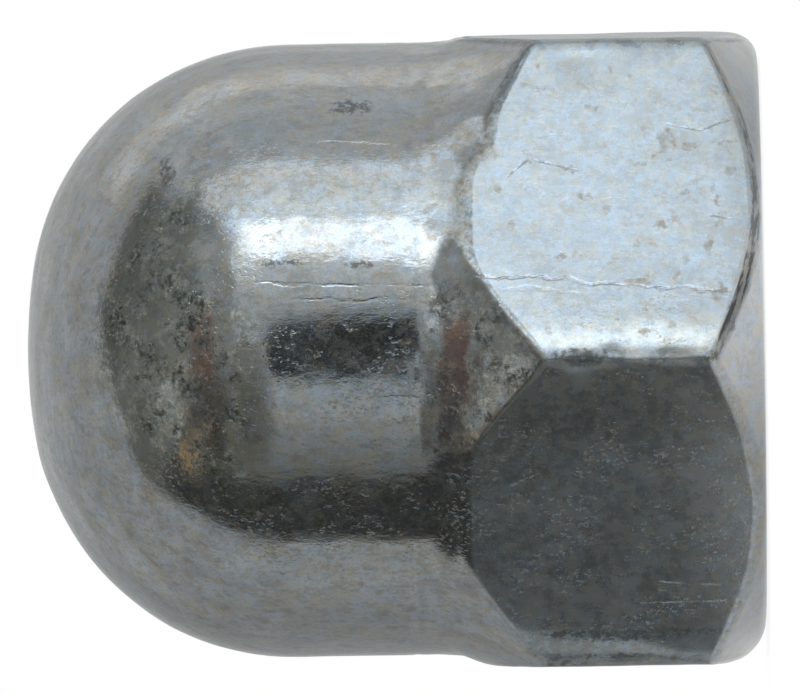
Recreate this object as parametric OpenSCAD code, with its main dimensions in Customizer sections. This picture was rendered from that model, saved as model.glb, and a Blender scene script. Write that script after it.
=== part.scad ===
// Closed-end cap nut, forged in one piece: a hexagon to turn it by, a round barrel, and a flattened
// dome that covers the end of the stud. Its blind hole is drilled and tapped from the bearing face.
// Millimetres. +Z is the axis of the thread, and the bearing face lies on z = 0. One corner of the
// hexagon points along -Y, so two of its flats face +X and -X.

/* [Hexagon] */
// Distance across two opposite flats
across_flats = 12.8; // [12.6:0.1:14.4]
// Radius of the six rounded corners
corner_r = 0.3; // [0.1:0.05:0.8]
// Height of the hexagon, up to the level where its blend meets the barrel
hexagon_height = 6.9; // [5.5:0.1:8]
// Angle between the axis and the cone that cuts the top of the corners
shoulder_angle = 27.5; // [25:0.5:55]
// Radius of the hollow blend between that cone and the barrel
blend_r = 2; // [0.4:0.1:3]

/* [Bearing face] */
// Diameter of the flat bearing face
face_d = 11.8; // [10:0.1:12]
// Radius of the rounding from the bearing face to the chamfer
face_edge_r = 0.5; // [0.2:0.1:1]
// Angle between the bearing face and the chamfer that cuts the bottom of the corners
chamfer_angle = 44; // [25:1:50]

/* [Barrel and dome] */
// Diameter of the round barrel
barrel_d = 12.5; // [11.6:0.1:12.5]
// Height of the whole nut
total_height = 15; // [14.5:0.1:18]
// Radius of the flattened crown of the dome
crown_r = 11.2; // [8:0.1:13]
// Radius of the round shoulder between the crown and the barrel
dome_shoulder_r = 5.3; // [4:0.1:5.8]

/* [Threaded hole] */
// Diameter of the hole before it is tapped: M8 by 1.25
tap_drill_d = 6.8; // [6:0.1:7]
// Depth of the hole at its full diameter
drill_depth = 11; // [8:0.1:11.5]
// Included angle of the drill's point
drill_point_angle = 118; // [100:1:140]
// Diameter of the countersink at the hole's mouth
countersink_d = 8.6; // [8:0.1:9.5]
// Included angle of the countersink
countersink_angle = 120; // [90:1:130]

/* [Hidden] */
$fn = 96;

// How far a cutting shape runs past what it cuts
overrun = 1;
// How far a rounding is grown, so that its arc always crosses the two faces it joins
arc_overlap = 0.0002;

face_r = face_d / 2;
barrel_r = barrel_d / 2;
tap_drill_r = tap_drill_d / 2;
countersink_r = countersink_d / 2;

// Hexagon: its sharp corners, and the centres of their roundings
sharp_corner_r = across_flats / 2 / cos(30);
corner_centre_r = sharp_corner_r - corner_r / cos(30);
corner_angles = [for (k = [0:5]) 60 * k - 90];

// Dome: the shoulder arc leaves the barrel upright and runs smoothly into the crown arc
crown_centre = [0, total_height - crown_r];
dome_shoulder_centre_r = barrel_r - dome_shoulder_r;
dome_shoulder_rise = sqrt(pow(crown_r - dome_shoulder_r, 2) - pow(dome_shoulder_centre_r, 2));
dome_shoulder_centre = [dome_shoulder_centre_r, crown_centre.y + dome_shoulder_rise];
dome_shoulder_end = atan2(dome_shoulder_rise, dome_shoulder_centre_r);

// Blend: a hollow arc from the shoulder cone to the barrel
blend_centre = [barrel_r + blend_r, hexagon_height];
blend_start = blend_centre - blend_r * along(shoulder_angle);

// Bearing face: a round edge between it and the chamfer
face_edge_centre = [face_r, face_edge_r];
sharp_face_r = face_r + face_edge_r * tan(chamfer_angle / 2);

// A radius a little outside every corner, where the chamfer and the shoulder cone are carried to
outside_r = 1.05 * sharp_corner_r;
chamfer_rise = (outside_r - sharp_face_r) * tan(chamfer_angle);
shoulder_fall = (outside_r - blend_start.x) / tan(shoulder_angle);

// A unit vector in the plane, at an angle from the first axis
function along(angle) = [cos(angle), sin(angle)];

// What a rounding takes off a sharp corner: all that lies outside its arc, between two directions
module outside_arc(centre, radius, from, to) {
    reach = 2 * radius;
    translate(centre) difference() {
        polygon([
            [0, 0],
            reach * along(from),
            reach * along((from + to) / 2),
            reach * along(to)
        ]);
        circle(radius + arc_overlap);
    }
}

// Half of the section through the axis, before the flats are cut
module outline() {
    difference() {
        intersection() {
            polygon([
                [0, 0],
                [sharp_face_r, 0],
                [outside_r, chamfer_rise],
                [outside_r, blend_start.y - shoulder_fall],
                blend_start,
                [barrel_r, hexagon_height],
                [barrel_r, total_height + overrun],
                [0, total_height + overrun]
            ]);
            translate(crown_centre) circle(crown_r);
        }
        outside_arc(dome_shoulder_centre, dome_shoulder_r, 0, dome_shoulder_end);
        translate(blend_centre) circle(blend_r + arc_overlap);
        outside_arc(face_edge_centre, face_edge_r, -90, chamfer_angle - 90);
    }
}

// The hexagon with its corners rounded, one of them on -Y
module rounded_hexagon() {
    difference() {
        polygon([for (angle = corner_angles) sharp_corner_r * along(angle)]);
        for (angle = corner_angles)
            outside_arc(corner_centre_r * along(angle), corner_r, angle - 30, angle + 30);
    }
}

// The forging before it is drilled: the turned outline, with six flats
module blank() {
    intersection() {
        rotate_extrude() outline();
        linear_extrude(total_height + overrun) rounded_hexagon();
    }
}

// The drilled hole, with its countersunk mouth and the cone that the drill's point leaves
module drilled_hole() {
    countersink_slope = tan(countersink_angle / 2);
    countersink_depth = (countersink_r - tap_drill_r) / countersink_slope;
    point_height = tap_drill_r / tan(drill_point_angle / 2);
    rotate_extrude() polygon([
        [0, -overrun],
        [countersink_r + overrun * countersink_slope, -overrun],
        [tap_drill_r, countersink_depth],
        [tap_drill_r, drill_depth],
        [0, drill_depth + point_height]
    ]);
}

module cap_nut() {
    color([0.45, 0.47, 0.49]) difference() {
        blank();
        drilled_hole();
    }
}

cap_nut();
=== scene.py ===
"""Looks of the domed cap nut: worn, plated and stained steel on a plain white ground.

Lengths are in millimetres up to the point where a mesh, the camera or the floor is made. +Z is the
axis of the thread and z = 0 the bearing face. Angles round the axis are measured from +X.
"""

import math

import bpy
import numpy as np
from mathutils import Matrix, Vector, noise


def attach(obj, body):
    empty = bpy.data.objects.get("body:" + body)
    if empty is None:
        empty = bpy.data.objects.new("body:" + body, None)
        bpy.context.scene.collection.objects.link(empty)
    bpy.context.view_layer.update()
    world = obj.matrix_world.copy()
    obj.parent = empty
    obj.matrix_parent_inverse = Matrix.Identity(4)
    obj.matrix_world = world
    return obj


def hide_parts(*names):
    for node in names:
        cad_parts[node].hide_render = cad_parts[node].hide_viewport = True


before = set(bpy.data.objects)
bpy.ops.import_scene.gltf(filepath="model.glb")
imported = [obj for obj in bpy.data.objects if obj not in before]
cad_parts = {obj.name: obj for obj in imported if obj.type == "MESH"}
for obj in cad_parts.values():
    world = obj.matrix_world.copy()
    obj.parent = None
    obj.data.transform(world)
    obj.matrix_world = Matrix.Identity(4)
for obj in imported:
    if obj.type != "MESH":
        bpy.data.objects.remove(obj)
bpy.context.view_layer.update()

MM = 0.001

# Hexagon
ACROSS_FLATS = 12.78
FIRST_CORNER = math.radians(-90)
SIXTH = math.radians(60)
# How far each corner is rounded off, in order from the one at -Y towards +X
CORNER_SOFTNESS = (0.05, 0.05, 0.10, 0.09, 0.12, 0.10)
# Bevels worn or struck on the corners: the direction each faces, how far out it lies at
# BEVEL_HEIGHT, how much further out per millimetre towards the bearing face, how round its edges
# are, and how far it wavers
BEVEL_HEIGHT = 4.45
BEVELS = [
    (math.radians(-132), 6.832, 0.033, 0.02, 0.0),
    (math.radians(-102.4), 7.1135, 0.0096, 0.012, 0.012),
    (math.radians(-67.4), 6.731, 0.0, 0.025, 0.0),
]
# Height where the hollow blend meets the barrel, and how much lower that is over the middle of a flat
# and on the side towards -X
HEXAGON_HEIGHT = 7.14
BLEND_SAG = 0.38
BLEND_SAG_WIDTH = math.radians(15)
SIDE_SAG = 0.46
SIDE_SAG_WIDTH = math.radians(20)
# Arcs of the blend from the barrel outwards: radius, and slope from the axis where it ends
BLEND_ARCS = ((1.95, math.radians(17.0)), (6.5, math.radians(26.2)))
SHOULDER_ANGLE = math.radians(27.5)
# The forging die sat a little off the barrel's axis: the shift of each, and where one starts to
# turn into the other
HEXAGON_SHIFT = -0.01
BARREL_SHIFT = 0.04
SHIFT_START = 5.4

# How far the creases round a flat are rounded off towards the dome and towards the bearing face, and
# the height that parts the two
TOP_CREASE = 0.07
BOTTOM_CREASE = 0.09
CREASE_PARTING = 3.0
# How far the outline of a flat strays
WOBBLE = 0.03
# Nicks: angle round the axis in degrees, height, reach across and along the axis, and depth
NICKS = [
    (-93, 2.6, 0.34, 2.6, 0.040),
    (-91, 3.75, 0.20, 0.45, 0.050),
    (-89, 3.15, 0.12, 0.20, 0.030),
    (-90, 1.9, 0.14, 0.50, 0.025),
    (-92, 4.4, 0.25, 0.25, 0.030),
    (-33, 3.7, 0.30, 0.35, 0.060),
    (-31, 2.2, 0.20, 0.60, 0.025),
    (-148, 2.9, 0.25, 0.70, 0.040),
    (28, 3.3, 0.25, 0.50, 0.040),
    (92, 2.4, 0.20, 0.40, 0.050),
    (151, 4.0, 0.25, 0.35, 0.040),
]

# Bearing face
FACE_Z = 0.045
SHARP_FACE_R = 6.18
FACE_EDGE_R = 0.5
CHAMFER_ANGLE = math.radians(44)
# Sides where the bearing face did not fill the die: direction, width, and how much smaller its
# radius, larger its round edge and softer the crease above it are there
UNDERFILLS = [
    (math.pi, math.radians(26), 0.28, 0.30, 0.15),
    (0.0, math.radians(26), 0.08, 0.05, 0.16),
]

# Shallow hollows in the shoulder cone and, with a negative depth, a swelling beside them, laid out
# like the nicks
HOLLOWS = [
    (-47.5, 5.60, 0.55, 0.65, 0.20),
    (-40, 5.20, 0.50, 0.50, 0.06),
    (-31, 4.60, 0.50, 0.60, -0.10),
]

# Barrel and dome
BARREL_R = 6.25
TOTAL_HEIGHT = 14.98
CROWN_R = 11.2
DOME_SHOULDER_R = 5.3

# Soft waves of the forging: height, how many to the millimetre, and where their noise starts. The
# highest of them are cut off at a limit.
WAVES = [(0.012, 0.55, 0.0), (0.005, 1.7, 5.0), (0.0014, 4.5, 9.0)]
WAVE_LIMIT = 0.008
# A cheek of the dome that came out a little flat: the way it faces, and its depth
CHEEK = (-0.60, -0.1, 0.80)
CHEEK_DEPTH = 0.035

# How far the middle point of the crown is pressed in, about as much as the points round it
POLE_DROP = 0.008

# Hole and thread: M8 by 1.25
TAP_DRILL_R = 3.4
THREAD_MAJOR_R = 4.02
PITCH = 1.25
CREST_HALF_WIDTH = 0.16
FLANK_ANGLE = math.radians(60)
THREAD_END = 10.2
DRILL_DEPTH = 11.0
# Half the included angles of the drill's point and of the countersink
DRILL_POINT_ANGLE = math.radians(59)
COUNTERSINK_ANGLE = math.radians(60)
COUNTERSINK_R = 4.3

# Camera: how far round towards +X it stands, its roll, its distance and sensor, and what it frames
CAMERA_TURN = math.radians(1.6)
CAMERA_ROLL = math.radians(0.9)
CAMERA_DISTANCE = 588.0
CAMERA_SENSOR = 36.0
VIEW_WIDTH = 16.293
VIEW_CENTRE_HEIGHT = 7.397
VIEW_CENTRE_ACROSS = 0.092


# ---------------------------------------------------------------- shape

def smooth_min(a, b, radius):
    """The smaller of two distances, with the crease between them rounded."""
    mix = np.clip(0.5 + 0.5 * (b - a) / radius, 0, 1)
    return b + (a - b) * mix - radius * mix * (1 - mix)


def bump(x, width):
    """1 at x = 0, falling smoothly to 0 at a few widths."""
    return np.exp(-(x / width) ** 2)


def angle_from(theta, centre):
    """The signed angle from a centre, between -pi and pi."""
    return (theta - centre + math.pi) % (2 * math.pi) - math.pi


def spread(low, high, density, count):
    """Count + 1 values from low to high, closer together where density is high."""
    x = np.linspace(low, high, 2000)
    total = np.concatenate([[0], np.cumsum(0.5 * (density(x[1:]) + density(x[:-1])) * np.diff(x))])
    return np.interp(np.linspace(0, total[-1], count + 1), total, x)


def column_angles():
    """Angles round the axis, dense at the six rounded corners."""
    corner = SIXTH / 2
    sector = spread(-corner, corner, lambda a: 1 + 7 * bump(corner - abs(a), math.radians(2.5)), 44)
    return np.concatenate([sector[:-1] + k * SIXTH for k in range(6)])


def hexagon_radius(z, theta):
    """Distance from the axis to the hexagon, whose flats run softly into its rounded corners."""
    apothem = ACROSS_FLATS / 2
    turn = (theta - FIRST_CORNER) / SIXTH
    softness = np.array(CORNER_SOFTNESS)
    whole = np.floor(turn).astype(int)
    between = smooth_step(turn - whole, 0, 1)
    soft = softness[whole % 6] * (1 - between) + softness[(whole + 1) % 6] * between
    from_corner = (turn - np.round(turn)) * SIXTH
    near = np.cos(SIXTH / 2 - abs(from_corner))
    far = np.cos(SIXTH / 2 + abs(from_corner))
    root = np.sqrt((apothem * (near - far)) ** 2 + 4 * soft ** 2 * near * far)
    sides = (apothem * (near + far) - root) / (2 * near * far)
    wave = np.sin(3.1 * z) + 0.6 * np.sin(7.3 * z + 1)
    for direction, reach, taper, crease, waver in BEVELS:
        reach = reach + taper * (BEVEL_HEIGHT - z) + waver * wave
        bevel = reach / np.maximum(np.cos(angle_from(theta, direction)), 0.2)
        sides = smooth_min(sides, bevel, crease)
    return sides


def blend_top(theta):
    """Height where the blend meets the barrel."""
    from_flat = (theta + SIXTH / 2) % SIXTH - SIXTH / 2
    sag = np.clip(1 - (from_flat / BLEND_SAG_WIDTH) ** 2, 0, 1) ** 2
    side = bump(angle_from(theta, math.pi), SIDE_SAG_WIDTH)
    return HEXAGON_HEIGHT - BLEND_SAG * sag - SIDE_SAG * side


def shoulder_profile():
    """Radius of the shoulder against the drop below the top of its blend: hollow arcs, then a cone."""
    drops, radii = [np.zeros(1)], [np.full(1, BARREL_R)]
    start = 0.0
    for arc_r, end in BLEND_ARCS:
        slope = np.linspace(start, end, 60)[1:]
        drops.append(drops[-1][-1] + arc_r * (np.sin(slope) - math.sin(start)))
        radii.append(radii[-1][-1] + arc_r * (math.cos(start) - np.cos(slope)))
        start = end
    drops.append(drops[-1][-1:] + HEXAGON_HEIGHT)
    radii.append(radii[-1][-1:] + HEXAGON_HEIGHT * math.tan(SHOULDER_ANGLE))
    return np.concatenate(drops), np.concatenate(radii)


SHOULDER = shoulder_profile()


def underfill(theta):
    """How much radius is missing at the bearing face, and how much rounder its edge and crease are."""
    low = [(bump(angle_from(theta, at), width), *amounts) for at, width, *amounts in UNDERFILLS]
    return [sum(share[0] * share[k] for share in low) for k in (1, 2, 3)]


def turned_radius(z, theta):
    """Radius of the turned outline below the barrel, as if the flats had not been cut."""
    missing, rounder, _ = underfill(theta)
    edge_r = FACE_EDGE_R + rounder
    sharp_r = SHARP_FACE_R - missing
    face_r = sharp_r - edge_r * math.tan(CHAMFER_ANGLE / 2)
    edge_top = edge_r * (1 - math.cos(CHAMFER_ANGLE))
    rise = z - FACE_Z
    edge = face_r + np.sqrt(np.maximum(edge_r ** 2 - (edge_r - np.clip(rise, 0, edge_r)) ** 2, 0))
    chamfer = sharp_r + rise / math.tan(CHAMFER_ANGLE)
    base = np.where(rise < edge_top, edge, chamfer)

    drop = np.maximum(blend_top(theta) - z, 0)
    radius = np.minimum(base, np.interp(drop, *SHOULDER))
    return radius - pressed(z, theta, HOLLOWS)


def pressed(z, theta, marks):
    """How deep the surface is pressed in by a list of marks."""
    depth = np.zeros(np.broadcast(z, theta).shape)
    for at, height, across, along, deepest in marks:
        aside = angle_from(theta, math.radians(at)) * BARREL_R
        depth = depth + deepest * bump(aside, across) * bump(z - height, along)
    return depth


def flat_ends(theta):
    """Heights of the lower and upper end of the flat for one column."""
    z = np.linspace(FACE_Z, HEXAGON_HEIGHT, 1200)
    flat = z[turned_radius(z, theta) > hexagon_radius(z, theta)]
    return flat[0], flat[-1]


def lower_rows(ends, count):
    """Heights from the bearing face to the barrel for one column, dense at the ends of its flat."""
    def density(height):
        total = 5.0 + 30 * bump(height - FACE_Z, 0.12) + 8 * bump(height - 6.8, 0.3)
        for end in ends:
            total = total + 30 * bump(height - end, 0.11)
        return total
    return spread(FACE_Z, HEXAGON_HEIGHT, density, count)


def lower_part(theta, ends, count):
    """Radius and height of the hexagon and its blend, with the creases round the flats softened."""
    z = np.stack([lower_rows(pair, count) for pair in ends], axis=1)
    turned = turned_radius(z, theta[None, :])
    rough = np.stack([turned * np.cos(theta), turned * np.sin(theta), z], axis=2)
    turned = turned + WOBBLE * field(rough, 0.9, 3.0) + 0.4 * WOBBLE * field(rough, 2.6, 7.0)
    hexagon = hexagon_radius(z, theta)
    crease = np.where(z < CREASE_PARTING, BOTTOM_CREASE + underfill(theta)[2], TOP_CREASE)
    return smooth_min(turned, hexagon, crease), z


def upper_part(barrel_count, shoulder_count, crown_count):
    """Radius and height of the barrel and the dome, up to just short of the pole."""
    shoulder_r = BARREL_R - DOME_SHOULDER_R
    crown_z = TOTAL_HEIGHT - CROWN_R
    rise = math.sqrt((CROWN_R - DOME_SHOULDER_R) ** 2 - shoulder_r ** 2)
    junction = math.atan2(rise, shoulder_r)
    shoulder = np.linspace(0, junction, shoulder_count + 1)[1:]
    crown = np.linspace(junction, math.pi / 2, crown_count + 1)[1:-1]
    radius = np.concatenate([
        np.full(barrel_count, BARREL_R),
        shoulder_r + DOME_SHOULDER_R * np.cos(shoulder),
        CROWN_R * np.cos(crown),
    ])
    z = np.concatenate([
        np.linspace(HEXAGON_HEIGHT, crown_z + rise, barrel_count + 1)[1:],
        crown_z + rise + DOME_SHOULDER_R * np.sin(shoulder),
        crown_z + CROWN_R * np.sin(crown),
    ])
    return radius[:, None], z[:, None]


def outer_grid(theta, lower_count, barrel_count, shoulder_count, crown_count):
    """Rows of points from the edge of the bearing face to just short of the pole.

    Also gives how far each point lies beyond the end of its flat, up or down (negative on the flats),
    and how far round from the nearest corner of the hexagon.
    """
    ends = np.array([flat_ends(angle) for angle in theta])
    radius, z = lower_part(theta, ends, lower_count)
    upper_r, upper_z = upper_part(barrel_count, shoulder_count, crown_count)
    shift = HEXAGON_SHIFT + (BARREL_SHIFT - HEXAGON_SHIFT) * smooth_step(z, SHIFT_START, HEXAGON_HEIGHT)
    upper = (len(upper_r), len(theta))
    radius = np.concatenate([radius, np.broadcast_to(upper_r, upper)])
    z = np.concatenate([z, np.broadcast_to(upper_z, upper)])
    shift = np.concatenate([shift, np.full(upper, BARREL_SHIFT)])
    beyond = np.maximum(z - ends[:, 1], ends[:, 0] - z)
    radius = radius - pressed(z, theta, NICKS)
    points = np.stack([radius * np.cos(theta) + shift, radius * np.sin(theta), z], axis=2)
    turn = (theta - FIRST_CORNER) / SIXTH
    from_corner = radius * abs(turn - np.round(turn)) * SIXTH
    return points, beyond, from_corner


def field(points, scale, seed):
    """Smooth noise between about -1 and 1 at every point of a grid."""
    offset = Vector((seed, seed, seed))
    values = [noise.noise(Vector(p) * scale + offset) for p in points.reshape(-1, 3)]
    return np.array(values).reshape(points.shape[:-1])


def smooth_step(x, low, high):
    """0 below low and 1 above high, rising smoothly between them."""
    t = np.clip((x - low) / (high - low), 0, 1)
    return t * t * (3 - 2 * t)


def thread_radius(z, theta):
    """Radius of the tapped hole: a 60 degree right-hand thread that fades out above its end."""
    turn = (z / PITCH - theta / (2 * math.pi)) % 1.0
    from_crest = abs(turn - 0.5) * PITCH
    depth = THREAD_MAJOR_R - TAP_DRILL_R
    groove = np.clip((from_crest - CREST_HALF_WIDTH) * math.tan(FLANK_ANGLE), 0, depth)
    fade = 1 - smooth_step(z, THREAD_END - 0.6, THREAD_END + 0.4)
    return TAP_DRILL_R + groove * fade


def hole_grid(theta, mouth_count, thread_count, point_count):
    """Rows of points from the mouth of the hole to just short of the tip of the drill's cone."""
    mouth_top = (COUNTERSINK_R - TAP_DRILL_R) / math.tan(COUNTERSINK_ANGLE) + FACE_Z
    point_height = TAP_DRILL_R / math.tan(DRILL_POINT_ANGLE)
    z = np.concatenate([
        np.linspace(FACE_Z, mouth_top, mouth_count + 1)[:-1],
        np.linspace(mouth_top, DRILL_DEPTH, thread_count + 1),
    ])
    mouth = COUNTERSINK_R - (z[:, None] - FACE_Z) * math.tan(COUNTERSINK_ANGLE)
    radius = np.maximum(thread_radius(z[:, None], theta[None, :]), mouth)
    rise = np.linspace(0, 1, point_count + 1)[1:-1]
    cone = np.broadcast_to((TAP_DRILL_R * (1 - rise))[:, None], (len(rise), len(theta)))
    radius = np.concatenate([radius, cone])
    z = np.concatenate([z, DRILL_DEPTH + point_height * rise])
    z = np.broadcast_to(z[:, None], radius.shape)
    points = np.stack([radius * np.cos(theta), radius * np.sin(theta), z], axis=2)
    return points, DRILL_DEPTH + point_height


def forge(points):
    """Presses the unevenness of a cold forging into the outside: soft waves and a flattened cheek."""
    across = np.roll(points, -1, axis=1) - np.roll(points, 1, axis=1)
    along = np.gradient(points, axis=0)
    normal = np.cross(across, along)
    normal /= np.maximum(np.linalg.norm(normal, axis=2, keepdims=True), 1e-9)
    wave = sum(height * field(points, scale, seed) for height, scale, seed in WAVES)
    facing = np.clip(normal @ (np.array(CHEEK) / np.linalg.norm(CHEEK)), 0, 1)
    dent = CHEEK_DEPTH * smooth_step(facing, 0.9, 1.0) * smooth_step(points[..., 2], 9.0, 11.0)
    inward = np.clip(WAVE_LIMIT - wave, 0, None) + dent
    inward *= smooth_step(points[..., 2], FACE_Z, 0.4)
    return points - normal * inward[..., None]


def strip(rows, columns):
    """Quads between consecutive rows of a closed grid."""
    quads = []
    for i in range(rows - 1):
        for j in range(columns):
            k = (j + 1) % columns
            a, b = i * columns, (i + 1) * columns
            quads.append((a + j, a + k, b + k, b + j))
    return quads


def fan(row_start, columns, pole, flip):
    """Triangles from the last row of a grid to its pole."""
    faces = []
    for j in range(columns):
        k = (j + 1) % columns
        face = (row_start + j, row_start + k, pole)
        faces.append(face[::-1] if flip else face)
    return faces


def build_nut():
    """The whole nut as one closed mesh: outside, bearing face, countersink, thread and drill point."""
    theta = column_angles()
    columns = len(theta)
    outside, beyond, from_corner = outer_grid(
        theta, lower_count=104, barrel_count=26, shoulder_count=52, crown_count=14)
    outside = forge(outside)
    hole, tip = hole_grid(theta, mouth_count=4, thread_count=128, point_count=8)
    face = np.stack([hole[0] + (outside[0] - hole[0]) * t for t in np.linspace(0, 1, 9)[1:-1]])

    grid = np.concatenate([hole[::-1], face, outside])
    rows = len(grid)
    poles = np.array([[BARREL_SHIFT, 0, TOTAL_HEIGHT - POLE_DROP], [0, 0, tip]])
    vertices = np.concatenate([grid.reshape(-1, 3), poles])
    top, bottom = rows * columns, rows * columns + 1
    faces = strip(rows, columns)
    faces += fan((rows - 1) * columns, columns, top, flip=False)
    faces += fan(0, columns, bottom, flip=True)

    mesh = bpy.data.meshes.new("cap_nut_dressed")
    mesh.from_pydata((vertices * MM).tolist(), [], faces)
    mesh.validate()
    mesh.shade_smooth()
    start = (rows - len(outside)) * columns
    # Points off the outside count as far from every flat and corner
    for name, values in (("beyond_flat", beyond), ("from_corner", from_corner)):
        whole = np.full(len(vertices), TOTAL_HEIGHT, np.float32)
        whole[start:start + values.size] = values.ravel()
        mesh.attributes.new(name, "FLOAT", "POINT").data.foreach_set("value", whole)
    nut = bpy.data.objects.new("cap_nut_dressed", mesh)
    bpy.context.collection.objects.link(nut)
    return nut


# ---------------------------------------------------------------- node helpers

class Graph:
    """Short ways to add nodes to one node tree."""

    # Vector operations that give a number
    NUMBERS = ("DOT_PRODUCT", "LENGTH", "DISTANCE")

    def __init__(self, tree):
        self.tree = tree
        self.nodes = tree.nodes

    def node(self, kind, **settings):
        made = self.nodes.new(kind)
        for name, value in settings.items():
            setattr(made, name, value)
        return made

    def join(self, value, socket):
        if isinstance(value, bpy.types.NodeSocket):
            self.tree.links.new(value, socket)
        else:
            socket.default_value = value

    def math(self, operation, *values):
        made = self.node("ShaderNodeMath", operation=operation)
        for value, socket in zip(values, made.inputs):
            self.join(value, socket)
        return made.outputs[0]

    def times(self, a, b):
        return self.math("MULTIPLY", a, b)

    def add(self, *values):
        total = values[0]
        for value in values[1:]:
            total = self.math("ADD", total, value)
        return total

    def less(self, value, amount):
        """What is left of an amount when the value is taken from it."""
        return self.math("SUBTRACT", amount, value)

    def vector(self, operation, a, b=None, scale=None):
        made = self.node("ShaderNodeVectorMath", operation=operation)
        self.join(a, made.inputs[0])
        if b is not None:
            self.join(b, made.inputs[1])
        if scale is not None:
            self.join(scale, made.inputs["Scale"])
        return made.outputs["Value" if operation in self.NUMBERS else "Vector"]

    def ramp(self, value, low, high, smooth=True):
        """0 below low, 1 above high; low may be the greater one."""
        made = self.node("ShaderNodeMapRange", clamp=True)
        made.interpolation_type = "SMOOTHSTEP" if smooth else "LINEAR"
        self.join(value, made.inputs["Value"])
        self.join(low, made.inputs["From Min"])
        self.join(high, made.inputs["From Max"])
        return made.outputs["Result"]

    def band(self, value, low, high, soft):
        """1 between low and high, with soft ends."""
        rising = self.ramp(value, low - soft, low + soft)
        falling = self.ramp(value, high + soft, high - soft)
        return self.times(rising, falling)

    def mix(self, factor, a, b):
        made = self.node("ShaderNodeMix", data_type="RGBA", clamp_factor=True)
        self.join(factor, made.inputs["Factor"])
        for value, socket in ((a, made.inputs["A"]), (b, made.inputs["B"])):
            value = (*value, 1.0) if isinstance(value, tuple) else value
            self.join(value, next(s for s in made.inputs if s.name == socket.name and s.type == "RGBA"))
        return next(s for s in made.outputs if s.type == "RGBA")

    def noise(self, vector, scale, detail=3.0, roughness=0.55):
        made = self.node("ShaderNodeTexNoise")
        self.join(vector, made.inputs["Vector"])
        made.inputs["Scale"].default_value = scale
        made.inputs["Detail"].default_value = detail
        made.inputs["Roughness"].default_value = roughness
        return made.outputs["Fac"]


# ---------------------------------------------------------------- material

# Colours of the plating, from clean to scuffed bare, and of the dirt on it
METAL = (0.43, 0.458, 0.487)
METAL_WARM = (0.44, 0.438, 0.425)
# The flats' plating is lighter and bluer than the rest: a painted reflection of the softbox's blue-white
# light
METAL_OF_FLATS_AND_REFLECTION = (0.46, 0.512, 0.558)
METAL_TARNISHED = (0.30, 0.31, 0.305)
METAL_SCUFFED = (0.425, 0.435, 0.405)
BARE = (0.68, 0.69, 0.65)
FILM = (0.225, 0.22, 0.19)
STAIN = (0.27, 0.225, 0.155)
RIM_DIRT = (0.27, 0.255, 0.205)
RIM_DIRT_OLD = (0.125, 0.12, 0.09)
# Soot, also the colour of the painted dark reflection among the smudges
SOOT = (0.045, 0.05, 0.047)
GRIME = (0.045, 0.05, 0.04)
# The colour drifts between these two
COOL_TINT = (0.96, 1.0, 1.05)
WARM_TINT = (1.045, 1.0, 0.94)
# Roughness of the plating where it is cleanest
POLISH = 0.075
# How far the dirt along an edge reaches beyond the flat
RIM_REACH = 0.27

# Laps rolled into the bar the nut was forged from: distance across the nut where their line meets
# z = 0, how much that grows per millimetre of height, lowest and highest point, and depth
LAPS = [
    (1.30, 0.025, 6.6, 10.4, 0.0038),
    (1.10, 0.015, 7.2, 9.4, 0.0026),
    (1.24, 0.072, 0.4, 5.8, 0.010),
    (1.08, 0.060, 3.6, 5.3, 0.006),
    (4.38, -0.006, 7.6, 9.0, 0.006),
    (-0.72, 0.0, 6.7, 7.9, 0.006),
]

# Scratches on the side towards -Y: the two ends as distance across and height, and how far the
# scratch reaches to each side
SCRATCHES = [
    ((-2.62, 5.30), (-2.25, 4.40), 0.030),
    ((4.33, 4.59), (3.99, 4.71), 0.022),
    ((3.99, 4.71), (3.63, 5.18), 0.022),
    ((3.97, 4.65), (3.75, 3.81), 0.030),
    ((3.42, 4.82), (3.14, 4.85), 0.024),
    ((4.63, 1.92), (4.50, 1.28), 0.024),
    ((4.50, 1.28), (4.71, 0.61), 0.024),
    ((2.80, 1.20), (2.71, 0.46), 0.020),
    ((-4.62, 2.20), (-4.70, 1.00), 0.018),
    ((-5.05, 2.60), (-5.02, 0.90), 0.016),
]

# Stains on the side towards -Y: distance across, height, and reach across and along the axis
STAINS_AND_PAINTED_SHADE = [
    # The first three lie in the hollow blend above the flat towards +X and darken its bright reflection:
    # painted shade as well as stains
    (4.40, 6.00, 0.42, 0.36),
    (4.10, 5.55, 0.22, 0.26),
    (2.60, 6.72, 0.22, 0.16),
    (5.74, 3.05, 0.07, 0.06),
    (5.61, 2.69, 0.06, 0.05),
    (5.82, 4.52, 0.05, 0.04),
    (4.98, 3.49, 0.08, 0.18),
    (4.33, 1.96, 0.25, 0.20),
    (4.16, 1.48, 0.08, 0.16),
    (3.77, 3.87, 0.07, 0.18),
    (3.68, 0.68, 0.10, 0.11),
    (3.39, 5.43, 0.10, 0.15),
    (3.38, 1.03, 0.15, 0.06),
    (3.23, 1.60, 0.07, 0.13),
    (3.20, 3.62, 0.08, 0.20),
    (3.08, 0.95, 0.11, 0.06),
    (2.95, 3.22, 0.11, 0.16),
    (2.68, 5.10, 0.12, 0.09),
    (2.61, 2.11, 0.08, 0.17),
    (2.24, 2.62, 0.09, 0.09),
    (2.20, 1.15, 0.25, 0.08),
    (2.00, 4.14, 0.07, 0.10),
    (1.96, 1.62, 0.17, 0.09),
    (1.62, 1.83, 0.09, 0.11),
    (1.47, 2.63, 0.09, 0.30),
    (1.26, 0.94, 0.19, 0.17),
    (0.65, 1.90, 0.09, 0.10),
    (0.55, 4.42, 0.11, 0.11),
    (0.48, 2.45, 0.08, 0.10),
]
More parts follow.
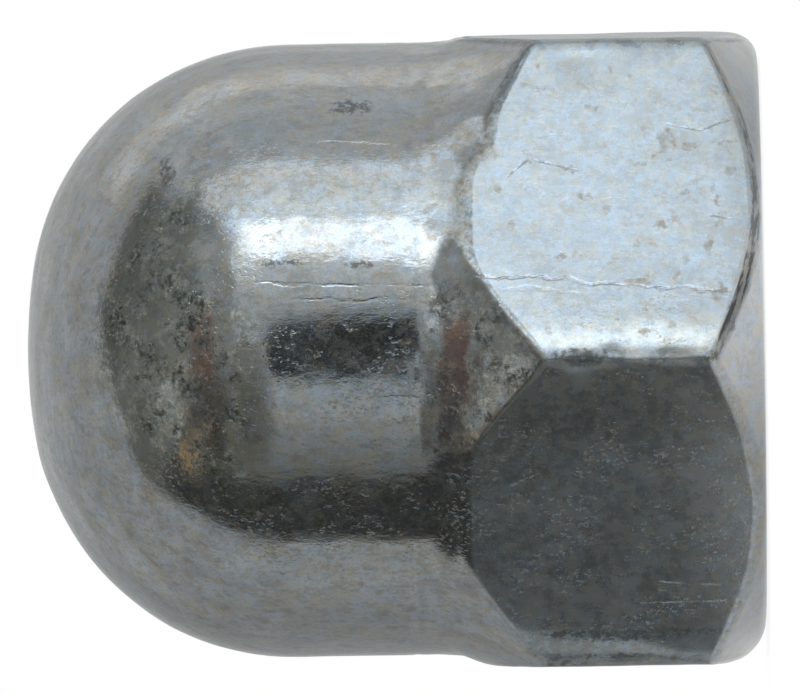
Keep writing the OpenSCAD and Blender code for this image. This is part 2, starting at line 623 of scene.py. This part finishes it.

# Sooty smudges on the same side; the first two are a painted reflection of a dark seam under the
# highlight
SMUDGES_AND_PAINTED_REFLECTION = [
    (1.98, 9.75, 0.06, 0.50),
    (1.92, 8.20, 0.05, 0.30),
    (5.05, 8.30, 0.16, 0.45),
    (3.80, 12.05, 0.30, 0.16),
    (0.00, 3.70, 0.17, 0.55),
    (0.02, 1.15, 0.10, 0.22),
    (0.75, 0.72, 0.35, 0.08),
    (-5.72, 2.90, 0.12, 1.50),
    (0.08, 3.80, 0.12, 0.60),
    (-5.64, 1.70, 0.06, 0.90),
    (-5.68, 4.00, 0.06, 0.80),
    (-6.14, 3.20, 0.05, 0.90),
]


def lap(g, across, height, wander, line):
    """1 on a lap that runs along the axis."""
    start, slope, low, high, _ = line
    middle = g.add(g.times(height, slope), start)
    aside = g.math("ABSOLUTE", g.math("SUBTRACT", g.add(across, wander), middle))
    return g.times(g.ramp(aside, 0.05, 0.0), g.band(height, low, high, 0.3))


def scratch(g, across, height, mark):
    """1 on a straight scratch between two points."""
    (x0, z0), (x1, z1), width = mark
    length = math.hypot(x1 - x0, z1 - z0)
    ux, uz = (x1 - x0) / length, (z1 - z0) / length
    dx, dz = g.math("SUBTRACT", across, x0), g.math("SUBTRACT", height, z0)
    run = g.add(g.times(dx, ux), g.times(dz, uz))
    aside = g.math("SUBTRACT", g.times(dx, uz), g.times(dz, ux))
    line = g.ramp(g.math("ABSOLUTE", aside), width, 0.0)
    return g.times(line, g.band(run, 0.0, length, 0.1))


def spot(g, across, height, mark):
    """1 in the middle of a mark, falling to 0 at its ragged edge."""
    x, z, reach_x, reach_z = mark
    dx = g.math("DIVIDE", g.math("SUBTRACT", across, x), reach_x)
    dz = g.math("DIVIDE", g.math("SUBTRACT", height, z), reach_z)
    return g.ramp(g.add(g.times(dx, dx), g.times(dz, dz)), 1.7, 0.2)


class Steel(Graph):
    """Nodes of the plated steel, with the places, regions and noises that its layers share."""

    # The forging draws its marks out along the axis, and its fine lines much more
    DRAWN = (1.0, 1.0, 0.55)
    COMBED = (1.0, 1.0, 0.09)
    # Middle of the scuffed patch of the dome, and one over its half-width and half-height
    SCUFF_CENTRE = (0.5, 0.0, 9.6)
    SCUFF_REACH = (0.286, 0.0, 0.256)

    def __init__(self, tree):
        super().__init__(tree)
        self.place = self.vector("SCALE", self.node("ShaderNodeTexCoord").outputs["Object"], scale=1 / MM)
        parts = self.node("ShaderNodeSeparateXYZ")
        self.join(self.place, parts.inputs[0])
        self.x, self.y, self.z = parts.outputs
        self.drawn = self.vector("MULTIPLY", self.place, self.DRAWN)
        self.combed = self.vector("MULTIPLY", self.place, self.COMBED)
        self.beyond_flat = self.attribute("beyond_flat")
        self.from_corner = self.attribute("from_corner")
        self.add_regions()
        self.add_noises()

    def attribute(self, name):
        return self.node("ShaderNodeAttribute", attribute_name=name).outputs["Fac"]

    def strayed(self, value, scale, amount):
        """A coordinate that strays a little, so that what is laid out by it has a ragged edge."""
        swing = self.math("SUBTRACT", self.noise(self.place, scale, 3, 0.7), 0.5)
        return self.add(value, self.times(swing, amount))

    def add_regions(self):
        """Each region is 1 inside and 0 outside.

        The worn side is the one towards +X, and the clean part is all of it below the dome. The top
        of the dome is scuffed. Battered are that and the shoulder above the corner at -Y.
        """
        x, z, beyond = self.x, self.z, self.beyond_flat
        self.flat = self.ramp(beyond, 0.03, -0.06)
        self.chamfer = self.times(self.ramp(beyond, 0.05, 0.15), self.ramp(z, 3.0, 2.0))
        self.corner = self.times(self.ramp(self.from_corner, 0.28, 0.12), self.ramp(beyond, 0.2, -0.1))
        self.front = self.ramp(self.y, 0.3, -0.3)
        self.worn = self.ramp(x, -0.6, 0.8)
        dome = self.ramp(z, 9.6, 10.6)
        self.clean = self.times(self.ramp(x, 1.0, 1.5), self.less(dome, 1.0))

        from_scuff = self.vector("SUBTRACT", self.place, self.SCUFF_CENTRE)
        from_scuff = self.vector("LENGTH", self.vector("MULTIPLY", from_scuff, self.SCUFF_REACH))
        high = self.math("SUBTRACT", z, self.ramp(x, 0.8, 1.6))
        self.scuffed = self.times(self.ramp(high, 10.1, 10.7), self.ramp(from_scuff, 1.08, 0.92))
        cone = self.times(self.band(z, 4.5, 6.9, 0.2), self.ramp(beyond, 0.0, 0.15))
        cone = self.times(self.band(x, -2.2, 1.5, 0.3), cone)
        self.battered = self.math("MAXIMUM", self.scuffed, cone)

    def add_noises(self):
        place, drawn = self.place, self.drawn
        self.fine = self.noise(place, 22.0, 2, 0.6)
        self.grain = self.noise(place, 8.0, 5, 0.72)
        self.blotch = self.noise(place, 2.1, 6, 0.72)
        self.mottle = self.noise(place, 3.4, 5, 0.75)
        self.cloud = self.noise(drawn, 0.55, 3)
        self.grainy = self.add(self.times(self.ramp(self.grain, 0.35, 0.65), 0.6), 0.4)
        self.broken = self.ramp(self.noise(drawn, 2.6, 4, 0.65), 0.42, 0.60)
        self.rough = self.ramp(self.noise(place, 1.1, 4, 0.7), 0.45, 0.58)
        self.ragged_x = self.strayed(self.x, 6.0, 0.30)
        self.ragged_z = self.strayed(self.z, 5.0, 0.30)

    def spots(self, marks):
        """1 on any of a list of marks on the side towards -Y."""
        total = self.add(*[spot(self, self.ragged_x, self.ragged_z, mark) for mark in marks])
        return self.times(self.front, total)


def dusty(g):
    """A film of dirt: blotches, fine specks, broad clouds, and a mottling on the flats."""
    patches = g.ramp(g.add(g.times(g.blotch, 0.55), g.times(g.grain, 0.45)), 0.48, 0.56)
    mottled = g.times(g.ramp(g.mottle, 0.42, 0.58), g.less(g.times(g.worn, 0.17), 0.25))
    film = g.add(
        0.02,
        g.times(patches, g.less(g.times(g.flat, 0.12), 0.22)),
        g.times(g.ramp(g.fine, 0.42, 0.64), g.less(g.times(g.flat, 0.07), 0.12)),
        g.times(g.ramp(g.cloud, 0.45, 0.70), 0.07),
        g.times(g.flat, g.add(mottled, 0.08)),
        g.times(g.corner, 0.22),
    )
    return g.times(film, g.less(g.times(g.chamfer, 0.6), 1.0))


def scratched(g):
    """The scratches, broken here and there."""
    wavering = g.strayed(g.x, 3.0, 0.10)
    lines = g.add(*[scratch(g, wavering, g.z, mark) for mark in SCRATCHES])
    return g.times(g.front, g.times(g.broken, lines))


def stained(g, scratches):
    """Brown stains, dabs and flecks, and the dirt in the scratches; three of the stains are also painted
    shade in the hollow blend.
    """
    dabs = g.times(g.ramp(g.noise(g.drawn, 3.6, 4, 0.68), 0.52, 0.66), g.ramp(g.cloud, 0.30, 0.5))
    flecks = g.ramp(g.noise(g.place, 11.0, 2, 0.6), 0.60, 0.72)
    total = g.add(
        # Three of these stains are also painted shade over the blend's reflection
        g.times(g.spots(STAINS_AND_PAINTED_SHADE), 0.6),
        g.times(dabs, 0.50),
        g.times(flecks, 0.22),
        g.times(scratches, 0.4),
    )
    return g.times(g.math("MINIMUM", total, 0.7), g.times(g.grainy, g.less(g.chamfer, 1.0)))


def rim_dirt_and_shade(g):
    """Dirt packed along the edges of the flats: a pale rim, and soot in streaks that follow it. Towards
    +X, most at the upper ends, the rim is wider and stronger, as painted shade over the crease's bright
    reflection.
    """
    lower = g.times(g.ramp(g.z, 3.4, 2.6), g.worn)
    upper = g.ramp(g.z, 3.0, 4.0)
    past_edge = g.add(g.beyond_flat, g.times(upper, 0.12))
    # Wider at the upper ends towards +X, partly as painted shade over the crease's reflection
    reach = g.add(
        RIM_REACH,
        g.times(lower, -0.07),
        g.times(lower, g.times(g.ramp(g.x, 3.6, 1.6), 0.09)),
        g.times(upper, g.times(g.worn, 0.20)),
    )
    border = g.times(g.ramp(past_edge, -0.06, 0.02), g.ramp(past_edge, reach, g.times(reach, 0.5)))
    # Stronger towards +X, partly as painted shade over the crease's reflection
    strength = g.add(0.32, g.times(g.worn, 0.45), g.times(lower, -0.45))
    rim = g.times(g.times(border, g.grainy), strength)

    along_edge = g.node("ShaderNodeCombineXYZ")
    places = (g.times(g.beyond_flat, 13.0), g.times(g.from_corner, 1.6), g.x)
    for value, socket in zip(places, along_edge.inputs):
        g.join(value, socket)
    streaks = g.ramp(g.noise(along_edge.outputs[0], 1.0, 4, 0.65), 0.46, 0.60)
    where = g.times(g.math("MAXIMUM", g.ramp(g.x, 4.3, 5.2), lower), 0.62)
    where = g.add(where, g.times(g.times(lower, g.ramp(g.x, 2.6, 1.4)), 0.25))
    unbroken = g.add(g.times(streaks, 0.65), g.add(g.times(g.ramp(g.x, 2.2, 1.2), 0.3), 0.35))
    return rim, g.times(border, g.times(unbroken, where))


def sooty_with_painted_reflection(g, edge_soot):
    """Soot on the edges and the corners, and the smudges, the first two of which are a painted dark
    reflection.
    """
    corner_soot = g.times(g.times(g.corner, g.ramp(g.blotch, 0.50, 0.60)), 0.45)
    smudges_and_reflection = g.times(g.math("MINIMUM", g.spots(SMUDGES_AND_PAINTED_REFLECTION), 1.0), g.ramp(g.grain, 0.38, 0.55))
    return g.math("MAXIMUM", g.math("MAXIMUM", edge_soot, corner_soot), g.times(smudges_and_reflection, 0.75))


def grimy(g):
    """Black grime in the battered places, thicker in rough patches."""
    grime = g.times(g.times(g.front, g.battered), g.ramp(g.blotch, 0.44, 0.56))
    thickness = g.add(g.times(g.rough, 0.45), 0.52)
    return g.times(g.times(grime, g.ramp(g.grain, 0.36, 0.58)), thickness)


def bare_metal(g):
    """Colour of the plating under its dirt: cooler and lighter on the flats as a painted reflection,
    tarnished, darker in a strip on the -X side of the corners at -Y and +Y, scuffed or bare, and with a
    painted highlight in a strip on the +X side of those corners.
    """
    # Painted reflection: the flats take the lighter, bluer plating
    metal = g.mix(g.flat, METAL, METAL_OF_FLATS_AND_REFLECTION)
    warm = g.ramp(g.noise(g.place, 1.3, 4, 0.7), 0.42, 0.6)
    metal = g.mix(g.times(warm, g.less(g.times(g.flat, 0.6), 1.0)), metal, METAL_WARM)

    tarnish_and_dark_strip = g.ramp(g.noise(g.drawn, 5.0, 4, 0.75), 0.50, 0.64)
    spared = g.add(0.7, g.times(g.flat, -0.5), g.times(g.chamfer, -0.4), g.times(g.clean, -0.15))
    # The flats are also darker in a strip on the -X side of the corners at -Y and +Y
    dark_edge = g.times(g.flat, g.band(g.x, -1.7, 0.0, 0.5))
    tarnish_and_dark_strip = g.math("MAXIMUM", g.times(tarnish_and_dark_strip, spared), g.times(dark_edge, 0.5))
    metal = g.mix(tarnish_and_dark_strip, metal, METAL_TARNISHED)

    metal = g.mix(g.times(g.times(g.front, g.scuffed), 0.7), metal, METAL_SCUFFED)
    bare = g.times(g.times(g.front, g.battered), g.ramp(g.mottle, 0.50, 0.62))
    metal = g.mix(g.times(bare, 0.8), metal, BARE)
    # Painted highlight: a strip of the flats on the +X side of the corners at -Y and +Y is made lighter
    painted_highlight_strip = g.times(g.flat, g.band(g.x, 0.15, 0.85, 0.25))
    return g.mix(g.times(painted_highlight_strip, 0.35), metal, BARE)


def dirt_colour(g, stains, rim, grime, soot):
    """Colour of the dirt, each layer over the one before."""
    rim_colour = g.mix(g.ramp(g.noise(g.place, 6.0, 4, 0.7), 0.60, 0.42), RIM_DIRT, RIM_DIRT_OLD)
    colour = g.mix(g.ramp(stains, 0.05, 0.35), FILM, STAIN)
    colour = g.mix(g.ramp(rim, 0.05, 0.3), colour, rim_colour)
    colour = g.mix(g.ramp(grime, 0.03, 0.2), colour, GRIME)
    # Soot, and the painted dark reflection among the smudges, in the colour of soot
    return g.mix(g.ramp(soot, 0.05, 0.35), colour, SOOT)


def surface_relief(g, scratches):
    """Height of the surface in millimetres: laps, scratches, unevenness, combed lines and pits."""
    wander = g.times(g.math("SUBTRACT", g.noise(g.drawn, 1.6, 4, 0.66), 0.5), 0.42)
    laps = g.add(*[g.times(lap(g, g.x, g.z, wander, line), -line[4]) for line in LAPS])
    laps = g.times(g.add(g.times(g.broken, 0.65), 0.35), laps)
    pits = g.times(g.ramp(g.noise(g.drawn, 16.0, 2, 0.6), 0.57, 0.69), g.add(g.times(g.rough, 0.9), 0.1))
    pit_depth = g.add(-0.0032, g.times(g.clean, 0.0020), g.times(g.battered, -0.0016))
    unevenness = g.add(0.0016, g.times(g.clean, -0.0004), g.times(g.battered, 0.0020))
    return g.add(
        g.times(g.front, laps),
        g.times(scratches, -0.007),
        g.times(g.noise(g.drawn, 2.2, 4, 0.65), 0.007),
        g.times(g.noise(g.drawn, 8.0, 3, 0.7), unevenness),
        g.times(g.noise(g.combed, 13.0, 3, 0.6), 0.0007),
        g.times(g.fine, 0.0004),
        g.times(pits, pit_depth),
    )


def plated_steel():
    """Zinc plating gone dull: a film of dirt in blotches, stains, laps, scratches and fine pits, with
    painted reflection, highlight and shade in places.
    """
    material = bpy.data.materials.new("plated_steel")
    material.use_nodes = True
    g = Steel(material.node_tree)
    shader = g.nodes["Principled BSDF"]

    scratches = scratched(g)
    stains = stained(g, scratches)
    rim, edge_soot = rim_dirt_and_shade(g)
    # soot also holds the painted dark reflection under the barrel's highlight
    soot = sooty_with_painted_reflection(g, edge_soot)
    grime = grimy(g)
    # dirt also holds the painted shade of three stains and of the rims, and the painted dark reflection
    # of two smudges
    dirt = g.math("MAXIMUM", g.math("MAXIMUM", dusty(g), stains), g.math("MAXIMUM", rim, soot))
    dirt = g.math("MAXIMUM", dirt, grime)
    tint = g.mix(g.ramp(g.noise(g.place, 4.0, 4, 0.72), 0.40, 0.60), COOL_TINT, WARM_TINT)
    colour = g.mix(dirt, bare_metal(g), dirt_colour(g, stains, rim, grime, soot))
    g.join(g.vector("MULTIPLY", colour, tint), shader.inputs["Base Color"])
    g.join(g.less(g.times(dirt, 0.7), 1.0), shader.inputs["Metallic"])

    dull = g.ramp(g.noise(g.drawn, 1.0, 3, 0.65), 0.45, 0.65)
    roughness = g.add(POLISH, g.times(dull, 0.05), g.times(dirt, 0.16), g.times(g.flat, 0.13))
    g.join(roughness, shader.inputs["Roughness"])

    bump_node = g.node("ShaderNodeBump")
    bump_node.inputs["Distance"].default_value = MM
    bump_node.inputs["Strength"].default_value = 1.0
    g.join(surface_relief(g, scratches), bump_node.inputs["Height"])
    g.join(bump_node.outputs["Normal"], shader.inputs["Normal"])
    return material


# ---------------------------------------------------------------- floor

# The floor is whole out to the smaller radius, and has faded out at the larger one
FLOOR_R = 24.0
FLOOR_CLEAR_R = 11.0
FLOOR_SIDES = 96
# What the floor gives off towards the nut
FLOOR_LIGHT = 0.46
# What the floor gives off towards the camera, so that it is as white as the background
FLOOR_WHITE = 0.75
# A pool of light on the floor in front of the nut: how far out, how far round and its reach
POOL_R = 8.0
POOL_TURN = math.radians(12)
POOL_REACH = 4.5
POOL_LIGHT = 0.5


def floor_glow(g, place):
    """What the floor gives off: white to the eye, and to the nut the light of the room and the pool."""
    path = g.node("ShaderNodeLightPath")
    mirrored = g.math("MAXIMUM", path.outputs["Is Glossy Ray"], path.outputs["Is Transmission Ray"])
    turn = CAMERA_TURN + POOL_TURN
    centre = (POOL_R * math.sin(turn), -POOL_R * math.cos(turn), 0.0)
    pool = g.times(g.ramp(g.vector("DISTANCE", place, centre), POOL_REACH, 0.5), POOL_LIGHT)
    light = g.times(mirrored, g.add(pool, FLOOR_LIGHT))
    white = g.times(path.outputs["Is Camera Ray"], FLOOR_WHITE)
    glow = g.node("ShaderNodeEmission")
    g.join(g.math("MAXIMUM", light, white), glow.inputs["Strength"])
    return glow.outputs[0]


def white_ground():
    """A pale floor that fades out round the nut: as white as the background, but for its shadow."""
    material = bpy.data.materials.new("white_ground")
    material.use_nodes = True
    g = Graph(material.node_tree)
    g.nodes.remove(g.nodes["Principled BSDF"])
    place = g.vector("SCALE", g.node("ShaderNodeTexCoord").outputs["Object"], scale=1 / MM)
    diffuse = g.node("ShaderNodeBsdfDiffuse")
    diffuse.inputs["Color"].default_value = (0.8, 0.8, 0.8, 1.0)
    lit = g.node("ShaderNodeAddShader")
    g.join(diffuse.outputs[0], lit.inputs[0])
    g.join(floor_glow(g, place), lit.inputs[1])
    fade = g.node("ShaderNodeMixShader")
    g.join(g.ramp(g.vector("LENGTH", place), FLOOR_R, FLOOR_CLEAR_R), fade.inputs[0])
    g.join(g.node("ShaderNodeBsdfTransparent").outputs[0], fade.inputs[1])
    g.join(lit.outputs[0], fade.inputs[2])
    g.join(fade.outputs[0], g.nodes["Material Output"].inputs["Surface"])
    return material


def build_floor():
    """A flat round floor at the height of the bearing face."""
    mesh = bpy.data.meshes.new("floor")
    turns = [2 * math.pi * k / FLOOR_SIDES for k in range(FLOOR_SIDES)]
    rim = [(FLOOR_R * MM * math.cos(turn), FLOOR_R * MM * math.sin(turn), 0.0) for turn in turns]
    mesh.from_pydata(rim, [], [tuple(range(FLOOR_SIDES))])
    mesh.materials.append(white_ground())
    floor = bpy.data.objects.new("floor", mesh)
    bpy.context.collection.objects.link(floor)
    return floor


# ---------------------------------------------------------------- studio

# Each card: angles round the nut's axis from the camera towards +X, angles above and below the
# horizon, softness of its edges that way and this, all in degrees, and its radiance at its first
# and last angle.
CARDS = [
    ("pale ceiling", (-60, 28), (60, 82), (8, 5), (0.245, 0.25, 0.235), (0.245, 0.25, 0.235)),
    ("ceiling side", (-82, 80), (37, 60), (4, 4), (0.26, 0.27, 0.26), (0.26, 0.275, 0.265)),
    ("rear wall", (99, 120), (38, 76), (2.5, 4), (0.44, 0.45, 0.44), (0.58, 0.59, 0.575)),
    ("dark gap", (-77, -50), (0, 50), (2, 2), (0.046, 0.049, 0.045), (0.047, 0.050, 0.0455)),
    ("front board, far part", (-50, -24), (0, 28), (1.5, 2), (0.21, 0.22, 0.21), (0.43, 0.45, 0.45)),
    ("front board", (-25, 22), (0, 26), (1.5, 1.5), (0.565, 0.62, 0.65), (0.605, 0.655, 0.68)),
    ("shade by the camera", (8, 16), (0, 13), (3, 3), (0.31, 0.335, 0.36), (0.46, 0.50, 0.52)),
    ("front board, lit part", (21, 34), (0, 23), (1.2, 2), (0.74, 0.79, 0.81), (0.93, 0.98, 1.0)),
    ("far end of the board", (-44, -9), (9, 28), (4, 4), (0.17, 0.165, 0.14), (0.19, 0.19, 0.17)),
    ("top of the board", (-10, 5), (12, 28), (3, 3), (0.24, 0.245, 0.235), (0.36, 0.37, 0.365)),
    ("side of the board", (-44, 54), (25, 40), (7, 4), (0.17, 0.165, 0.145), (0.52, 0.55, 0.55)),
    ("brown stand", (-14, 17), (34, 46), (2, 2), (0.18, 0.11, 0.09), (0.24, 0.15, 0.125)),
    ("dark stand", (-46, -12), (29, 43), (1.5, 1.5), (0.05, 0.045, 0.04), (0.10, 0.08, 0.07)),
    ("copper clip", (-62, -34), (37, 46), (2, 2), (0.33, 0.26, 0.18), (0.30, 0.25, 0.18)),
    ("copper clip, lit edge", (-57, -46), (41, 45), (1.5, 1), (0.54, 0.34, 0.17), (0.54, 0.34, 0.17)),
    ("pale patch", (-46, -10), (48, 62), (2.5, 2.5), (0.45, 0.46, 0.435), (0.45, 0.46, 0.435)),
    ("pale patch, near part", (-8, 30), (46, 52), (4, 2.5), (0.35, 0.36, 0.345), (0.35, 0.36, 0.345)),
    ("dark corner", (-84, -58), (50, 66), (5, 4), (0.18, 0.18, 0.16), (0.18, 0.18, 0.16)),
    ("softbox surround", (33, 62), (0, 24), (2.5, 6), (0.90, 1.00, 1.02), (0.98, 1.08, 1.12)),
    ("softbox", (34.6, 51.6), (0, 20), (1.2, 6), (2.6, 2.85, 3.1), (2.6, 2.85, 3.1)),
    ("softbox rim", (51, 61), (0, 26), (2.5, 5), (1.32, 1.48, 1.60), (1.30, 1.46, 1.57)),
    ("upper board", (61, 78), (0, 33), (2, 5), (1.20, 1.30, 1.36), (1.28, 1.37, 1.43)),
    ("rear board", (78, 118), (0, 41), (3, 4), (0.60, 0.64, 0.66), (0.70, 0.725, 0.73)),
    ("light strip", (118, 135), (0, 48), (2, 8), (1.05, 1.04, 1.00), (0.82, 0.80, 0.76)),
    ("near corner of the table", (-100, -78), (0, 24), (6, 6), (0.50, 0.525, 0.53), (0.50, 0.525, 0.53)),
    ("far end of the table", (-172, -117), (0, 22), (8, 8), (0.385, 0.395, 0.395), (0.385, 0.395, 0.395)),
]
# Radiance of the room between the cards, and how much of it is missing overhead
ROOM = (0.175, 0.184, 0.167)
ROOM_SHADOW = 0.35
# How uneven the light of everything is, and of the smaller things in the upper part of the room
CLUTTER = 1.1
SMALL_CLUTTER = 1.5
# The dark camera that the nut mirrors
CAMERA_COLOUR = (0.031, 0.036, 0.036)
# The table behind the nut: the way its edge faces, its radiance, and how much that grows towards +X
TABLE_TURN = math.radians(22)
TABLE_COLOUR = (0.55, 0.565, 0.567)
TABLE_GRADIENT = 0.16
# Half-width of the white backdrop straight behind the nut
BACKDROP_ANGLE = math.radians(4)


def bare_room(g, x, facing, above):
    """The pale table behind the nut, and the room in front of it."""
    table = g.vector("SCALE", TABLE_COLOUR, scale=g.add(g.times(x, TABLE_GRADIENT), 1.0))
    shadow = g.times(g.ramp(facing, 0.22, 0.08), g.ramp(above, 50.0, 62.0))
    room = g.vector("SCALE", ROOM, scale=g.less(g.times(shadow, ROOM_SHADOW), 1.0))
    return g.mix(g.ramp(facing, -0.035, -0.005), table, room)


def with_cards(g, colour, around, above):
    """Lays each card over what was there before it."""
    for _, turn, rise, (soft, soft_rise), first, last in CARDS:
        weight = g.ramp(above, rise[1] + soft_rise, rise[1] - soft_rise)
        weight = g.times(g.band(around, *turn, soft), weight)
        if rise[0] > 0:
            weight = g.times(weight, g.ramp(above, rise[0] - soft_rise, rise[0] + soft_rise))
        radiance = first if first == last else g.mix(g.ramp(around, *turn, smooth=False), first, last)
        colour = g.mix(weight, colour, radiance)
    return colour


def clutter(g, direction, facing, above):
    """How bright each part of the room is: large things all round, and small ones higher up."""
    large = g.times(g.math("SUBTRACT", g.noise(direction, 6.0, 4, 0.6), 0.5), CLUTTER)
    small = g.times(g.math("SUBTRACT", g.noise(direction, 20.0, 3, 0.6), 0.5), SMALL_CLUTTER)
    indoors = g.times(g.ramp(above, 22.0, 32.0), g.ramp(facing, 0.0, 0.1))
    return g.add(large, g.times(small, indoors), 1.0)


def camera_outline(g, around, above):
    """1 on the camera, which narrows towards its top."""
    aside = g.math("ABSOLUTE", g.math("SUBTRACT", around, 0.5))
    narrower = g.times(g.math("MAXIMUM", g.math("SUBTRACT", above, 5.0), 0.0), 0.9)
    return g.times(g.ramp(g.add(aside, narrower), 11.4, 9.8), g.ramp(above, 11.0, 9.4))


def studio_world():
    """A light board round the camera, a softbox beside it and a pale table behind the nut."""
    world = bpy.data.worlds.new("studio")
    bpy.context.scene.world = world
    world.use_nodes = True
    g = Graph(world.node_tree)
    direction = g.node("ShaderNodeTexCoord").outputs["Generated"]
    parts = g.node("ShaderNodeSeparateXYZ")
    g.join(direction, parts.inputs[0])
    x, y, z = parts.outputs
    around = g.math("DEGREES", g.math("ARCTAN2", x, g.times(y, -1.0)))
    around = g.math("SUBTRACT", around, math.degrees(CAMERA_TURN))
    above = g.math("DEGREES", g.math("ARCSINE", g.math("ABSOLUTE", z)))
    turn = TABLE_TURN + CAMERA_TURN
    facing = g.vector("DOT_PRODUCT", direction, (math.sin(turn), -math.cos(turn), 0.0))

    colour = with_cards(g, bare_room(g, x, facing, above), around, above)
    colour = g.vector("SCALE", colour, scale=clutter(g, direction, facing, above))
    colour = g.mix(camera_outline(g, around, above), colour, CAMERA_COLOUR)
    backdrop = g.ramp(y, math.cos(BACKDROP_ANGLE * 1.4), math.cos(BACKDROP_ANGLE))
    colour = g.mix(backdrop, colour, (1.0, 1.0, 1.0))

    path = g.node("ShaderNodeLightPath")
    seen = g.math("MAXIMUM", path.outputs["Is Camera Ray"], path.outputs["Is Transmission Ray"])
    colour = g.mix(seen, colour, (1.0, 1.0, 1.0))
    g.join(colour, g.nodes["Background"].inputs["Color"])
    g.nodes["Background"].inputs["Strength"].default_value = 1.0


def place_camera():
    """A long lens that looks across the axis, rolled so that the dome points to the left."""
    toward = Vector((math.sin(CAMERA_TURN), -math.cos(CAMERA_TURN), 0))
    upright = Vector((math.cos(CAMERA_TURN), math.sin(CAMERA_TURN), 0))
    axis = Vector((0, 0, 1))
    right = -axis * math.cos(CAMERA_ROLL) - upright * math.sin(CAMERA_ROLL)
    up = -axis * math.sin(CAMERA_ROLL) + upright * math.cos(CAMERA_ROLL)
    aim = axis * VIEW_CENTRE_HEIGHT + upright * VIEW_CENTRE_ACROSS
    data = bpy.data.cameras.new("camera")
    data.sensor_width = CAMERA_SENSOR
    data.lens = CAMERA_SENSOR * CAMERA_DISTANCE / VIEW_WIDTH
    data.clip_start, data.clip_end = 0.01, 10.0
    camera = bpy.data.objects.new("camera", data)
    bpy.context.collection.objects.link(camera)
    pose = Matrix((right, up, toward)).transposed().to_4x4()
    pose.translation = (aim + toward * CAMERA_DISTANCE) * MM
    camera.matrix_world = pose
    bpy.context.scene.camera = camera


def main():
    """Builds the nut, its floor, its light and the camera."""
    nut = build_nut()
    nut.data.materials.append(plated_steel())
    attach(nut, "root")
    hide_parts("cap_nut")
    build_floor()
    studio_world()
    place_camera()
    bpy.context.scene.view_settings.view_transform = "Standard"


main()
